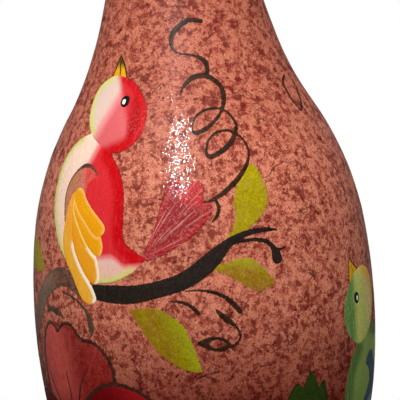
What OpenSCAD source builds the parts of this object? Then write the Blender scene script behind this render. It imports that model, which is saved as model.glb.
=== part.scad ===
// A hand-built, bottle-shaped clay vase, painted all round with a tree of life:
// birds, boughs, leaves, tendrils and large red flowers on a sponged ground.
// Origin: centre of the foot, on the surface the vase stands on. +Z runs up its axis.
// An azimuth of 0 faces -Y, and a positive azimuth turns towards +X.

/* [Clay] */
// Largest radius of the clay, at the belly
belly_r = 63.6; // [60:0.1:68]
// Height of the foot ring
foot_h = 5; // [3:0.5:8]
// Width of the foot ring's tread
foot_w = 8; // [5:0.5:12]
// Thickness of the clay wall
wall = 5; // [4:0.5:6]
// Radius of the straight bore in the neck
bore_r = 19; // [17:0.5:20]
// Radius of the rolled lip's section
lip_bend = 5; // [4:0.5:6]

/* [Coats] */
// Thickness of the sponged ground coat
ground_t = 0.4; // [0.3:0.05:0.8]
// Thickness of the painted motifs
paint_t = 0.4; // [0.3:0.05:0.8]

/* [Layout] */
// Azimuth of the red bird
red_azimuth = -28; // [-30:1:-26]
// Azimuth of the green bird
green_azimuth = 65; // [63:1:68]
// Azimuth about which the back repeats the front, mirrored
back_azimuth = 172; // [168:1:176]

/* [Hidden] */
$fn = 180;

// ---- The vase's outline ----
// A point of the outline is [radius, height, lean], with lean in degrees towards the axis.
// An arc is [bend radius, lean at its end]; a negative bend curves the other way.

step = 4;
foot_set_in = 0.8;
tread_bevel = 1.5;
inner_bevel = 1;
bore_in_neck = 30;
below_belly = [[247, 7.7], [112, 38]];
belly_to_shoulder = [[192.6, 8.4], [115, 31.5]];
shoulder_to_neck = [[-122.5, 18.7], [-190, 9]];
neck_to_flare = [[-190, 0], [-16, -35]];

function arc(p, bend, lean) =
    let (n = max(2, ceil(abs(bend * (lean - p[2])) * PI / 180 / step)))
    [for (i = [1:n])
        let (a = p[2] + (lean - p[2]) * i / n)
        [p[0] - bend * (cos(p[2]) - cos(a)), p[1] + bend * (sin(a) - sin(p[2])), a]];
function chain(points, arcs, i = 0) =
    i == len(arcs) ? points
    : chain(concat(points, arc(points[len(points) - 1], arcs[i][0], arcs[i][1])), arcs, i + 1);
function reversed(list) = [for (i = [len(list) - 1:-1:0]) list[i]];
function last(list) = list[len(list) - 1];
function part_of(list, first, final) = [for (i = [first:final]) list[i]];

drop = chain([[belly_r, 0, 0]], below_belly);
belly_z = foot_h + last(drop)[1];
lower_line = [for (p = reversed(drop)) [p[0], belly_z - p[1], -p[2]]];
shoulder_line = chain([last(lower_line)], belly_to_shoulder);
neck_base_line = chain([last(shoulder_line)], shoulder_to_neck);
neck_line = chain([last(neck_base_line)], neck_to_flare);
lip_line = chain([last(neck_line)], [[lip_bend, 90]]);
surface_line = concat(
    lower_line,
    part_of(shoulder_line, 1, len(shoulder_line) - 1),
    part_of(neck_base_line, 1, len(neck_base_line) - 1),
    part_of(neck_line, 1, len(neck_line) - 1),
    part_of(lip_line, 1, len(lip_line) - 1));
foot_r = lower_line[0][0] - foot_set_in;
paint_in = ground_t;
paint_out = ground_t + paint_t;

// The outline moved out along its own normal
function skin(line, lift) = [for (p = line) [p[0] + lift * cos(p[2]), p[1] + lift * sin(p[2])]];

module coil_built(line, inner, outer) {
    rotate_extrude() polygon(concat(skin(line, outer), reversed(skin(line, inner))));
}

// ---- Brush shapes, drawn flat: x runs round the vase, y is height ----

function bend_point(a, b, c, d, t) =
    (2 * b + (c - a) * t + (2 * a - 5 * b + 4 * c - d) * t * t + (3 * b - a - 3 * c + d) * t * t * t) / 2;
// Smooth open line through the points
function curve(p, n = 4) =
    let (end = len(p) - 1)
    concat([for (i = [0:end - 1], k = [0:n - 1])
        bend_point(p[max(i - 1, 0)], p[i], p[i + 1], p[min(i + 2, end)], k / n)], [p[end]]);
// Closed shape whose sides are smooth lines that meet at corners
function sides(lines, n = 4) =
    [for (line = lines) let (c = curve(line, n)) for (i = [0:len(c) - 2]) c[i]];
// Closed smooth shape with no corners
function blob(p, n = 3) =
    let (m = len(p))
    [for (i = [0:m - 1], k = [0:n - 1])
        bend_point(p[(i + m - 1) % m], p[i], p[(i + 1) % m], p[(i + 2) % m], k / n)];
function oval(c, rx, ry) = [for (a = [0:22.5:337.5]) [c[0] + rx * cos(a), c[1] + ry * sin(a)]];
// One brush stroke along [x, y, width] points
function stroke(p, n = 4) =
    let (
        c = curve(p, n),
        end = len(c) - 1,
        side = [for (i = [0:end])
            let (d = c[min(i + 1, end)] - c[max(i - 1, 0)])
            [-d[1], d[0]] * max(c[i][2], 0.3) / 2 / norm([d[0], d[1]])])
    concat(
        [for (i = [0:end]) [c[i][0], c[i][1]] + side[i]],
        [for (i = [end:-1:0]) [c[i][0], c[i][1]] - side[i]]);

// The shapes, as a solid that reaches in from the front at an azimuth
module prism(azimuth, shapes) {
    rotate([0, 0, azimuth]) rotate([90, 0, 0]) linear_extrude(belly_r + 8)
        for (s = shapes) polygon(s);
}
// A film of paint from one height to another, in the shape of its flat children
module film(azimuth, low, high) {
    span = [for (p = surface_line) if (p[1] > low - 1.5 * step && p[1] < high + 1.5 * step) p];
    intersection() {
        coil_built(span, paint_in, paint_out);
        rotate([0, 0, azimuth]) rotate([90, 0, 0]) linear_extrude(belly_r + 8) children();
    }
}
// A film of paint in the listed shapes, less its children
module painted(azimuth, shapes) {
    heights = [for (s = shapes) for (p = s) p[1]];
    difference() {
        film(azimuth, min(heights), max(heights)) for (s = shapes) polygon(s);
        children();
    }
}
module on_back() {
    rotate([0, 0, back_azimuth]) mirror([1, 0, 0]) children();
}

// ---- Birds ----
// A bird is [azimuth, head's place across, head's height, 1 or -1 to mirror it, beak, beak's strokes, tail,
// breast line, eye's place]. Its outlines are measured from the centre of its head.

head_shape = [[-3, 14], [-9.5, 12], [-13, 7.5], [-13.5, 1], [-10.5, -6], [-4, -11.5], [2.5, -14.5],
    [8.5, -13], [13, -8], [13.5, -1], [11, 5], [5, 11.5]];
back_line = [[-7, -6], [-16, -8.5], [-23, -15], [-26.5, -25.5], [-26, -37], [-21.5, -48.5],
    [-12, -57.5], [-3.5, -61], [4, -61.2], [11, -58.6], [17.5, -53.6]];
breast_line = [[17.5, -53.6], [11.7, -49.5], [8.6, -45.5], [8.7, -36], [8.2, -28], [5.8, -21],
    [1.8, -15.2], [-1, -9]];
full_breast_line = [[17.5, -53.6], [14.8, -49], [12.7, -44], [12.5, -36], [12, -28], [9.6, -21],
    [5.4, -15.2], [-1, -9]];
nape_line = [[-1, -9], [-7, -6]];
wing_arc = [[-19, -39, 0.4], [-19.8, -31.5, 0.5], [-18.6, -25, 0.5], [-14.8, -20.3, 0.7],
    [-10.2, -18.2, 1.5], [-6.2, -19.4, 1.2], [-3.7, -22.4, 0.5]];
wing_inside = [[-3.7, -22.4], [-8, -25], [-10, -31], [-19, -39]];
feather_shapes = [
    [[-13.8, -27.5], [-17, -30.5], [-18.8, -37], [-20.2, -44], [-19.3, -50.4], [-15.2, -58], [-11, -66],
        [-7.5, -68.5], [-4, -67.5], [-5, -63.5], [-9, -57], [-12.5, -49.5], [-14, -38]],
    [[-13.4, -27.5], [-15.2, -34], [-15.2, -41], [-14, -48], [-11.2, -54], [-7.5, -59.5], [-4, -61.5],
        [-2, -60], [-2.2, -55], [-4, -50], [-10, -38]],
    [[-12.8, -28], [-14.4, -33.5], [-12.2, -39], [-9.2, -44.5], [-6, -49], [-3, -51.6], [-0.8, -50.8],
        [-0.2, -48], [-1.3, -44], [-6, -37]],
    [[-14.4, -28.8], [-12.7, -26.2], [-10.2, -27], [-8, -30.8], [-4.8, -34.7], [-1.7, -37.9],
        [0.8, -41], [0, -43.7], [-3.4, -44.3], [-8.6, -38.6], [-12.6, -33.5]]];
plume_tail = [
    [[15.8, -53.3], [18, -48.5], [21, -41.5], [23, -33], [24, -28], [26.5, -26], [29, -27], [30.3, -29.3]],
    [[30.3, -29.3], [32, -27], [35, -26.5], [37.2, -29.5], [36.8, -34]],
    [[36.8, -34], [39.5, -35.3], [39.5, -39.5], [34.3, -46.3], [26.3, -51.4], [19, -54.2], [15.8, -53.3]]];
pointed_tail = [
    [[15.8, -53.3], [20, -43], [22.3, -33], [24.3, -25.5]],
    [[24.3, -25.5], [26, -27], [26.8, -28.5]],
    [[26.8, -28.5], [28.2, -25], [30.3, -22]],
    [[30.3, -22], [31.8, -24.5], [32.8, -28]],
    [[32.8, -28], [34, -27], [35.7, -26]],
    [[35.7, -26], [38, -31], [37.5, -39], [30, -49], [20, -54], [15.8, -53.3]]];
raised_beak = [
    [[-5.6, 10], [-4.7, 14], [-2.3, 21.3]],
    [[-2.3, 21.3], [0.3, 17], [2, 12], [1.4, 10]],
    [[1.4, 10], [-5.6, 10]]];
raised_beak_strokes = [
    [[-5.4, 12.6, 0.4], [-4.4, 15.5, 0.4], [-2.4, 21.4, 0.4]],
    [[2.2, 12.4, 0.6], [0.5, 17, 0.7], [-2.2, 21.6, 0.4]],
    [[-1.4, 13.4, 0.4], [-1.7, 16, 0.5], [-2.2, 19.5, 0.4]]];
slanted_beak = [
    [[1.2, 11.5], [4.5, 14.3], [7.6, 17.4]],
    [[7.6, 17.4], [8.7, 12], [9.2, 6.5]],
    [[9.2, 6.5], [1.2, 11.5]]];
slanted_beak_strokes = [
    [[1.2, 12.6, 0.5], [4.6, 14.4, 0.7], [7.6, 17.6, 0.5]],
    [[9.2, 6.8, 0.5], [8.9, 12, 0.6], [7.7, 17.6, 0.5]],
    [[4.6, 10.6, 0.4], [5.6, 12.3, 0.5], [6.7, 14.8, 0.4]]];
eye_at = [3.2, 4.2];
low_eye_at = [4.4, 2.4];
eye_size = [2, 2.2];
glint_size = [0.8, 1.1];
red_bird = [red_azimuth, -6.5, 163, 1, raised_beak, raised_beak_strokes, plume_tail, breast_line, eye_at];
green_bird = [green_azimuth, 0, 87, -1, slanted_beak, slanted_beak_strokes, pointed_tail,
    full_breast_line, low_eye_at];

function on_bird(bird, points) = [for (p = points)
    len(p) == 3 ? [bird[1] + bird[3] * p[0], bird[2] + p[1], p[2]]
    : [bird[1] + bird[3] * p[0], bird[2] + p[1]]];
function feathers_from(bird, first) =
    [for (i = [first:1:len(feather_shapes) - 1]) on_bird(bird, blob(feather_shapes[i]))];

module bird_head_prism(bird) {
    prism(bird[0], [on_bird(bird, blob(head_shape))]);
}
module bird_feather_prism(bird, first = 0) {
    prism(bird[0], feathers_from(bird, first));
}
module bird_body_prism(bird) {
    prism(bird[0], [on_bird(bird, sides([back_line, bird[7], nape_line]))]);
}
module wing_edge_prism(bird) {
    prism(bird[0], [stroke(on_bird(bird, wing_arc))]);
}
module bird_head(bird) {
    painted(bird[0], [on_bird(bird, blob(head_shape))])
        prism(bird[0], [on_bird(bird, oval(bird[8], eye_size[0], eye_size[1]))]);
}
module bird_eye(bird) {
    painted(bird[0], [on_bird(bird, oval(bird[8], eye_size[0], eye_size[1]))])
        prism(bird[0], [on_bird(bird, oval(bird[8] - [0.5, 0.1], glint_size[0], glint_size[1]))]);
}
module bird_glint(bird) {
    painted(bird[0], [on_bird(bird, oval(bird[8] - [0.5, 0.1], glint_size[0], glint_size[1]))]);
}
function beak_strokes(bird) = [for (line = bird[5]) stroke(on_bird(bird, line), 2)];
function wing_outline(bird) =
    on_bird(bird, sides([[for (p = wing_arc) [p[0], p[1]]], wing_inside]));
module bird_beak(bird) {
    painted(bird[0], [on_bird(bird, sides(bird[4], 3))]) {
        bird_head_prism(bird);
        prism(bird[0], beak_strokes(bird));
    }
}
module bird_beak_lines(bird) {
    painted(bird[0], beak_strokes(bird)) bird_head_prism(bird);
}
module bird_body(bird) {
    painted(bird[0], [on_bird(bird, sides([back_line, bird[7], nape_line], 3))]) {
        bird_head_prism(bird);
        bird_feather_prism(bird);
        prism(bird[0], [wing_outline(bird)]);
        wing_edge_prism(bird);
    }
}
module bird_wing(bird) {
    painted(bird[0], [wing_outline(bird)]) {
        bird_feather_prism(bird);
        wing_edge_prism(bird);
    }
}
module bird_wing_edge(bird) {
    painted(bird[0], [stroke(on_bird(bird, wing_arc))]) bird_feather_prism(bird);
}
module bird_feather(bird, i) {
    painted(bird[0], [on_bird(bird, blob(feather_shapes[i]))]) bird_feather_prism(bird, i + 1);
}
module bird_feathers(bird) {
    for (i = [0:len(feather_shapes) - 1]) bird_feather(bird, i);
}
module bird_tail(bird) {
    painted(bird[0], [on_bird(bird, sides(bird[6], 3))]) {
        bird_body_prism(bird);
        children();
    }
}

// ---- Boughs, leaves and tendrils ----

branch_line = [[-40.5, 98.9, 5.2], [-33, 97.6, 6.5], [-25, 97, 6.6], [-17, 98.2, 6], [-9, 100, 6.2],
    [-2, 103.3, 6.5], [4, 107.8, 6.2], [9.5, 112.5, 3.7], [14, 115.2, 2.5], [20, 116.8, 2],
    [25, 117, 1.5], [28.5, 116.7, 0.4]];
twig_lines = [
    [[9, 111.5, 0.8], [12, 113, 0.8], [17, 113.7, 1.2], [21, 113.7, 1.4], [24.5, 112.5, 1.6],
        [26.4, 110, 2.1], [27.3, 107.4, 3.7], [27.4, 105.2, 3], [27.4, 104.5, 1.6]],
    [[27, 109.7, 1.4], [29, 109.7, 1], [31, 110.6, 0.3]]];
bough_line = [[-32, 76, 4], [-24, 84, 6], [-16, 93, 8], [-8, 100.3, 7.4], [-1, 103.8, 7.6],
    [5, 104.8, 7.2], [10, 103.5, 6], [13.5, 100, 4], [16.8, 96.8, 1.2]];
low_branch_line = [[-34, 17, 0.6], [-26, 20, 2], [-14, 22, 4.5], [0, 21.5, 5.5], [14, 22.5, 5],
    [26, 27, 3.6], [34, 34, 2], [38, 42, 0.6]];
side_branch_lines = [
    [[-14, 34, 0.6], [-8, 44, 3.2], [-3, 58, 4.8], [-2, 74, 4.6], [-5, 90, 4], [-4, 106, 3.2],
        [2, 120, 2.4], [9, 130, 1.4], [14, 135, 0.5]],
    [[-3, 74, 2.4], [5, 83, 2], [12, 88, 1.4], [18, 90, 0.5]],
    [[-4, 98, 2], [-11, 108, 1.6], [-15, 116, 0.6]]];

leaf_upper_sides = [
    [[20.5, 141.3], [15.6, 135.5], [12.8, 128], [13.3, 121.5], [9.5, 114.3]],
    [[9.5, 114.3], [16, 116.4], [23, 122], [26, 128.5], [24.5, 135], [22.2, 140.3], [20.5, 141.3]]];
leaf_middle_sides = [
    [[1.8, 104.2], [9, 106.5], [17, 107.5], [22.5, 103.4], [27, 97.8]],
    [[27, 97.8], [20.6, 95], [14.5, 97.8], [8, 102.1], [1.8, 104.2]]];
leaf_lower_sides = [
    [[-27.5, 92], [-20, 92.1], [-14, 90], [-8.1, 84.8], [-4.8, 77], [-2, 67.6]],
    [[-2, 67.6], [-8.1, 68.6], [-16, 73.8], [-21.3, 80.6], [-27.5, 92]]];
leaf_left_sides = [
    [[-13, 119], [-4, 120.5], [6, 119], [12, 114.5], [16, 107.5]],
    [[16, 107.5], [8, 106.5], [-2, 109.5], [-8, 114], [-13, 119]]];
// A leaf to repeat, from its stalk at the origin to its tip
leaf_sides = [
    [[0, 0], [-6.5, 8], [-7, 17], [0.5, 27]],
    [[0.5, 27], [6.5, 17], [5, 7], [0, 0]]];
function leaf_at(x, y, turn, size = 1) = [for (p = sides(leaf_sides))
    [x + size * (p[0] * cos(turn) - p[1] * sin(turn)), y + size * (p[0] * sin(turn) + p[1] * cos(turn))]];

spiral_lines = [
    [[6.8, 194.6, 1.6], [1.3, 195.4, 2], [-3.7, 192, 2], [-5.6, 187.5, 1.6], [-3.6, 183.6, 0.9],
        [1.5, 182.5, 0.8], [5.6, 180.6, 1.8], [7.1, 177.8, 2], [6.9, 174.8, 1.2]],
    [[-3.4, 168, 0.5], [-1.8, 171.3, 1.3], [2, 174.2, 2.1], [6.8, 174.3, 2], [11, 171, 1.7],
        [12.4, 166.3, 2], [10.9, 160.5, 1.3], [6.2, 155.6, 1.7], [1.4, 153.4, 1.7], [-0.2, 155, 1.1],
        [1, 158.6, 0.8], [4.5, 161.6, 1.1], [10, 162.2, 1.1]],
    [[10, 162.2, 1.1], [13.6, 160.2, 0.8], [16.2, 155.5, 1.3], [14.4, 150.2, 2], [10.6, 146.6, 2],
        [5.8, 144.5, 1.9], [4.5, 147, 1.1], [6.2, 151.3, 0.8], [9.5, 153.6, 1.1], [13.5, 153.7, 1.1]],
    [[13.5, 153.7, 1.1], [17.6, 151, 0.8], [20, 146, 0.8], [18.9, 141, 1.3], [14.9, 135.5, 1.9],
        [9.1, 130.8, 1.8], [4.8, 128.8, 1], [2, 128.4, 0.5]],
    [[6.4, 129.4, 0.9], [7.7, 126.2, 1.4], [6.8, 123.2, 1.3], [4.8, 121, 0.5]]];
lower_tendril_lines = [
    [[-7.2, 97, 0.4], [-1, 97, 0.9], [5, 95.5, 1.4], [9.5, 92.5, 1.8], [12.2, 89.3, 2.1], [13, 87.8, 1.4]],
    [[-13, 93.8, 0.4], [-8, 93.2, 1.2], [-4.1, 91, 1.6], [-1.8, 88.2, 1.6]],
    [[4, 89.8, 0.8], [6, 87.6, 2], [8.4, 85.4, 2.2], [10.8, 83.3, 1.1], [12.3, 80.3, 1], [11.3, 77.5, 0.9],
        [8.5, 76, 1]],
    [[-5.2, 65.3, 0.4], [2, 67.3, 0.5], [9.4, 67.7, 0.3]],
    [[6.9, 74.6, 0.4], [6.5, 71, 0.4], [6.4, 67.9, 0.3]]];
bud_sides = [
    [[-3.7, 78.3], [0, 80], [4, 80.1], [7.5, 78.8], [9.4, 76.5]],
    [[9.4, 76.5], [6.5, 74.8], [2.5, 74.8], [-1, 76.3], [-3.7, 78.3]]];
bud_eye = [[0.8, 77.9], [3.2, 78.9], [5.8, 78.3], [7, 77.1], [5, 76.1], [2.3, 76.3]];
left_tendril_lines = [
    [[5, 99.5, 0.8], [9.5, 98, 1.3], [14.5, 95.2, 0.9], [18.3, 91.2, 1.7], [19.6, 87, 2.7],
        [19.7, 83.2, 1.3]],
    [[-7.4, 92.7, 1.4], [-3, 93.3, 2.3], [1.2, 92, 2.3], [4.7, 89.9, 1.3]]];
edge_tendril_line = [[0.5, 173.6, 0.8], [-3.5, 170.8, 1.2], [-4.4, 166, 1.3], [-3.4, 160.4, 1.1],
    [-1, 161, 1], [2.6, 165, 1], [5.4, 170, 1], [4, 174.6, 0.7]];
left_edge_tendril_line = [[-9, 138, 0.6], [-5, 145, 1.6], [1, 151, 2.2], [6.5, 153, 2.2], [9.6, 149.5, 1.8],
    [8.4, 145, 1]];
side_tendril_line = [[-10, 150, 0.6], [-4, 156, 1.6], [3, 156, 2], [6, 150.5, 1.8], [2.5, 146.5, 1.2],
    [-0.5, 149, 0.7]];

function strokes(lines, n = 3) = [for (line = lines) stroke(line, n)];

module branch_prism() {
    prism(0, [stroke(branch_line)]);
}
module spiral_prism() {
    prism(0, strokes(spiral_lines));
}
module branch_paint() {
    painted(0, [stroke(branch_line)]) bird_feather_prism(red_bird);
}
module twig_paint() {
    painted(0, strokes(twig_lines)) branch_prism();
}
module leaf_upper_paint() {
    painted(0, [sides(leaf_upper_sides)]) {
        branch_prism();
        spiral_prism();
    }
}
module leaf_middle_paint() {
    painted(0, [sides(leaf_middle_sides)]) branch_prism();
}
module leaf_lower_paint() {
    painted(0, [sides(leaf_lower_sides)]);
}
module spiral_paint() {
    painted(0, strokes(spiral_lines));
}
module lower_tendril_paint() {
    painted(0, concat(strokes(lower_tendril_lines), [sides(bud_sides, 3)])) {
        branch_prism();
        prism(0, [blob(bud_eye, 2)]);
    }
}

// ---- Flowers ----
// Petals are measured from the flower's centre.

flower_azimuth = -52;
flower_at = [-4, 46];
flower_reach = 42;
outline_w = 1.5;
disc_r = 6;
petal_line = [[-4, 1], [-9, 8], [-14, 19], [-13.5, 29], [-7.5, 37], [1, 39], [9, 36.5], [14, 29],
    [14, 19], [9, 8], [4, 1]];
ruffled_lines = [
    [[-12, 2], [-16, 15], [-16.5, 28], [-15, 36], [-10, 42], [-5.5, 41.5], [-3, 38.8]],
    [[-3, 38.8], [1, 41.5], [6, 41.3], [11.3, 35.5]],
    [[11.3, 35.5], [18, 34], [23, 28.7], [24.6, 21], [21, 11], [12, 2]]];
petal_turns = [84, 127, 180, -128, -79];
vein_lines = [
    [[-15.1, 28.5, 0.4], [-12.5, 21, 0.7], [-6.5, 10, 0.9]],
    [[-0.2, 24.3, 0.4], [0.9, 17, 0.7], [0.6, 11, 0.8]],
    [[12.9, 24.6, 0.4], [8, 19, 0.9], [5, 12, 0.9]]];

function turned(p, a) = [p[0] * cos(a) - p[1] * sin(a), p[0] * sin(a) + p[1] * cos(a)];
function lined(points) = [for (p = points) [p[0], p[1], outline_w]];
function petal(i) = [for (p = curve(petal_line, 3)) turned(p, petal_turns[i])];
function petal_edge(i) = stroke([for (p = petal_line)
    let (q = turned(p, petal_turns[i])) [q[0], q[1], outline_w]], 3);

module petals_over(i) {
    for (j = [i + 1:1:len(petal_turns) - 1]) {
        polygon(petal(j));
        polygon(petal_edge(j));
    }
    circle(disc_r);
}
module back_petal_shape() {
    difference() {
        polygon([for (line = ruffled_lines) for (p = part_of(curve(line, 3), 1, 3 * len(line) - 3)) p]);
        for (line = ruffled_lines) polygon(stroke(lined(line), 3));
        for (v = vein_lines) polygon(stroke(v, 3));
        petals_over(-1);
    }
}
module front_petal_shapes() {
    for (i = [0:len(petal_turns) - 1]) difference() {
        polygon(petal(i));
        polygon(petal_edge(i));
        petals_over(i);
    }
}
module petal_line_shapes() {
    difference() {
        union() {
            for (line = ruffled_lines) polygon(stroke(lined(line), 3));
            for (v = vein_lines) polygon(stroke(v, 3));
        }
        petals_over(-1);
    }
    for (i = [0:len(petal_turns) - 1]) difference() {
        polygon(petal_edge(i));
        petals_over(i);
    }
}
module on_flower(reach) {
    film(flower_azimuth, flower_at[1] - reach, flower_at[1] + reach) translate(flower_at) children();
}
module flower_front() {
    on_flower(flower_reach) front_petal_shapes();
}
module flower_lines() {
    on_flower(flower_reach + 2) petal_line_shapes();
}
module flower_disc() {
    on_flower(disc_r) circle(disc_r);
}

// ---- The clay ----

module foot_ring() color("#9c5a3c") {
    inner_r = foot_r - foot_w;
    rotate_extrude() polygon([
        [inner_r + inner_bevel, 0], [foot_r - tread_bevel, 0], [foot_r, tread_bevel],
        [foot_r, foot_h - inner_bevel], [foot_r - inner_bevel, foot_h], [inner_r, foot_h],
        [inner_r, inner_bevel]]);
}
module base_floor() color("#a66242") {
    rim = part_of(lower_line, 0, 1);
    inside = skin([rim[1]], -wall)[0];
    rotate_extrude() polygon(concat([[0, foot_h]], skin(rim, 0), [inside, [0, inside[1]]]));
}
module lower_body() color("#a96545") {
    coil_built(part_of(lower_line, 1, len(lower_line) - 1), -wall, 0);
}
module shoulder() color("#ac6846") {
    coil_built(shoulder_line, -wall, 0);
}
module neck_base() color("#a66242") {
    coil_built(neck_base_line, -wall, 0);
}
module neck() color("#a96545") {
    top = last(neck_line);
    below_bore = top[1] - bore_in_neck;
    throat = [for (p = skin(neck_line, -wall)) if (p[1] < below_bore) p];
    rotate_extrude() polygon(concat(
        skin(neck_line, 0), [[bore_r, top[1]], [bore_r, below_bore]], reversed(throat)));
}
module lip_ring() color("#ac6846") {
    top = last(lip_line);
    bend = top[0] - bore_r;
    rotate_extrude() polygon(concat(
        skin(lip_line, 0),
        [for (a = [15:15:90]) [top[0] - bend * sin(a), top[1] - bend + bend * cos(a)]],
        [[bore_r, lip_line[0][1]]]));
}
module ground_coat() color("#bd7560") {
    coil_built(surface_line, 0, ground_t);
}

// ---- The painted tree ----

module branch() color("#1e1c18") branch_paint();
module twig() color("#1e1c18") twig_paint();
module left_bough() color("#5a5045") {
    painted(-58, [stroke(bough_line)]) bird_feather_prism(red_bird);
}
module low_branch() color("#1e1c18") {
    painted(72, [stroke(low_branch_line)]);
}
module side_branch() color("#1e1c18") {
    painted(112, strokes(side_branch_lines, 4));
}
module leaf_upper() color("#b4aa0a") leaf_upper_paint();
module leaf_middle() color("#b4aa0a") leaf_middle_paint();
module leaf_lower() color("#968205") leaf_lower_paint();
module leaf_left() color("#b4aa46") {
    painted(-80, [sides(leaf_left_sides)]);
}
module side_leaves() color("#aaa010") {
    painted(112, [
        leaf_at(17.5, 90.5, -60, 0.95), leaf_at(14, 135.5, -15, 0.9),
        leaf_at(-15.5, 116.5, 25), leaf_at(3.5, 62, -65, 0.8)]) prism(112, strokes(side_branch_lines, 4));
}
module spiral_tendril() color("#26221c") spiral_paint();
module lower_tendrils() color("#1e1c18") lower_tendril_paint();
module left_tendrils() color("#3c372e") {
    painted(-58, strokes(left_tendril_lines)) {
        prism(-58, [stroke(bough_line)]);
        bird_feather_prism(red_bird);
    }
}
module edge_tendrils() color("#26221c") {
    painted(60, [stroke(edge_tendril_line)]);
    painted(-88, [stroke(left_edge_tendril_line)]);
    painted(112, [stroke(side_tendril_line)]);
}

// ---- The birds ----

module red_bird_body() color("#e0252b") bird_body(red_bird);
module red_bird_head() color("#e84a55") bird_head(red_bird);
module red_bird_beak() color("#d79614") bird_beak(red_bird);
module red_bird_eye() color("#101010") bird_eye(red_bird);
module red_bird_wing() color("#af7d5a") bird_wing(red_bird);
module red_bird_wing_edge() color("#4a3228") bird_wing_edge(red_bird);
module red_bird_feather_1() color("#e0ac3c") bird_feather(red_bird, 0);
module red_bird_feather_2() color("#f0a818") bird_feather(red_bird, 1);
module red_bird_feather_3() color("#f0a818") bird_feather(red_bird, 2);
module red_bird_feather_4() color("#f5aa14") bird_feather(red_bird, 3);
module red_bird_tail() color("#c03a42") bird_tail(red_bird) spiral_prism();

module green_bird_body() color("#5a8a3c") bird_body(green_bird);
module green_bird_head() color("#6aa04a") bird_head(green_bird);
module green_bird_beak() color("#d79614") bird_beak(green_bird);
module green_bird_eye() color("#101010") bird_eye(green_bird);
module green_bird_wing() color("#3c505a") {
    bird_wing(green_bird);
    bird_wing_edge(green_bird);
}
module green_bird_feathers() color("#6a8a9a") bird_feathers(green_bird);
module green_bird_tail() color("#233c0f") bird_tail(green_bird);

module back_bird_body() color("#e0252b") on_back() bird_body(red_bird);
module back_bird_head() color("#e84a55") on_back() bird_head(red_bird);
module back_bird_beak() color("#d79614") on_back() bird_beak(red_bird);
module back_bird_eye() color("#101010") on_back() bird_eye(red_bird);
module back_bird_wing() color("#af7d5a") on_back() {
    bird_wing(red_bird);
    bird_wing_edge(red_bird);
}
module back_bird_feathers() color("#f0a818") on_back() bird_feathers(red_bird);
module back_bird_tail() color("#c03a42") on_back() bird_tail(red_bird) spiral_prism();
module beak_lines() color("#3a2412") {
    bird_beak_lines(red_bird);
    bird_beak_lines(green_bird);
    on_back() bird_beak_lines(red_bird);
}
module eye_glints() color("#f8f8f4") {
    bird_glint(red_bird);
    bird_glint(green_bird);
    on_back() bird_glint(red_bird);
}

// ---- The flowers ----

module flower_back_petal() color("#962828") on_flower(flower_reach) back_petal_shape();
module flower_front_petals() color("#820a10") flower_front();
module flower_outlines() color("#18120e") flower_lines();
module flower_centre() color("#c89a28") flower_disc();

// ---- The back, which repeats the front ----

module back_flower_petals() color("#8c1418") on_back() {
    on_flower(flower_reach) back_petal_shape();
    flower_front();
}
module back_flower_outlines() color("#18120e") on_back() flower_lines();
module back_flower_centre() color("#c89a28") on_back() flower_disc();
module back_branch() color("#1e1c18") on_back() {
    branch_paint();
    twig_paint();
}
module back_leaves() color("#b4aa0a") on_back() {
    leaf_upper_paint();
    leaf_middle_paint();
    leaf_lower_paint();
}
module back_tendrils() color("#26221c") on_back() {
    spiral_paint();
    lower_tendril_paint();
}

foot_ring();
base_floor();
lower_body();
shoulder();
neck_base();
neck();
lip_ring();
ground_coat();
branch();
twig();
left_bough();
low_branch();
side_branch();
leaf_upper();
leaf_middle();
leaf_lower();
leaf_left();
side_leaves();
spiral_tendril();
lower_tendrils();
left_tendrils();
edge_tendrils();
red_bird_body();
red_bird_head();
red_bird_beak();
red_bird_eye();
red_bird_wing();
red_bird_wing_edge();
red_bird_feather_1();
red_bird_feather_2();
red_bird_feather_3();
red_bird_feather_4();
red_bird_tail();
green_bird_body();
green_bird_head();
green_bird_beak();
green_bird_eye();
green_bird_wing();
green_bird_feathers();
green_bird_tail();
back_bird_body();
back_bird_head();
back_bird_beak();
back_bird_eye();
back_bird_wing();
back_bird_feathers();
back_bird_tail();
beak_lines();
eye_glints();
flower_back_petal();
flower_front_petals();
flower_outlines();
flower_centre();
back_flower_petals();
back_flower_outlines();
back_flower_centre();
back_branch();
back_leaves();
back_tendrils();
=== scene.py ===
"""Looks of the painted clay vase: a sponged, crackled ground under gloss varnish, with the
tree of life brushed over it. Lengths are millimetres until a mesh is made, which is in metres."""

import math

import bpy
import numpy as np
from mathutils import Matrix, Vector, geometry, kdtree, noise


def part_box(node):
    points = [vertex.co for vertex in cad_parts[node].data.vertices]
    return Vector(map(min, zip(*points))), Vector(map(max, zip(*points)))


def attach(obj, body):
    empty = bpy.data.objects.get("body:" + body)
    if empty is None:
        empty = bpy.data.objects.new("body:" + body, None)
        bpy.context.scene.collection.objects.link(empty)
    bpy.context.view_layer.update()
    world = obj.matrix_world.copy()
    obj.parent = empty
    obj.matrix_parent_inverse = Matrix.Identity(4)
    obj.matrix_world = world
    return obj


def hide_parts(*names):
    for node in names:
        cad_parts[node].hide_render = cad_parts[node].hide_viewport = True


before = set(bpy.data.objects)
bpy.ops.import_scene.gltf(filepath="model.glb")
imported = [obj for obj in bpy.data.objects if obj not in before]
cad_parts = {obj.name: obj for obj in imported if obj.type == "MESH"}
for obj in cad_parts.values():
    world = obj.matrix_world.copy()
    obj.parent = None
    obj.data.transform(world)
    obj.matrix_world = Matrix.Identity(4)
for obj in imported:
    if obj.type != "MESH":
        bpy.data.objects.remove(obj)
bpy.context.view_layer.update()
bpy.context.scene.view_settings.view_transform = "Standard"

MM = 0.001
COAT = 0.4  # the CAD's ground coat
FILM = 0.4  # the CAD's painted films


# ---- The vase's outline, the same arcs as the CAD's, from the frame's own boxes ----

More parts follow.
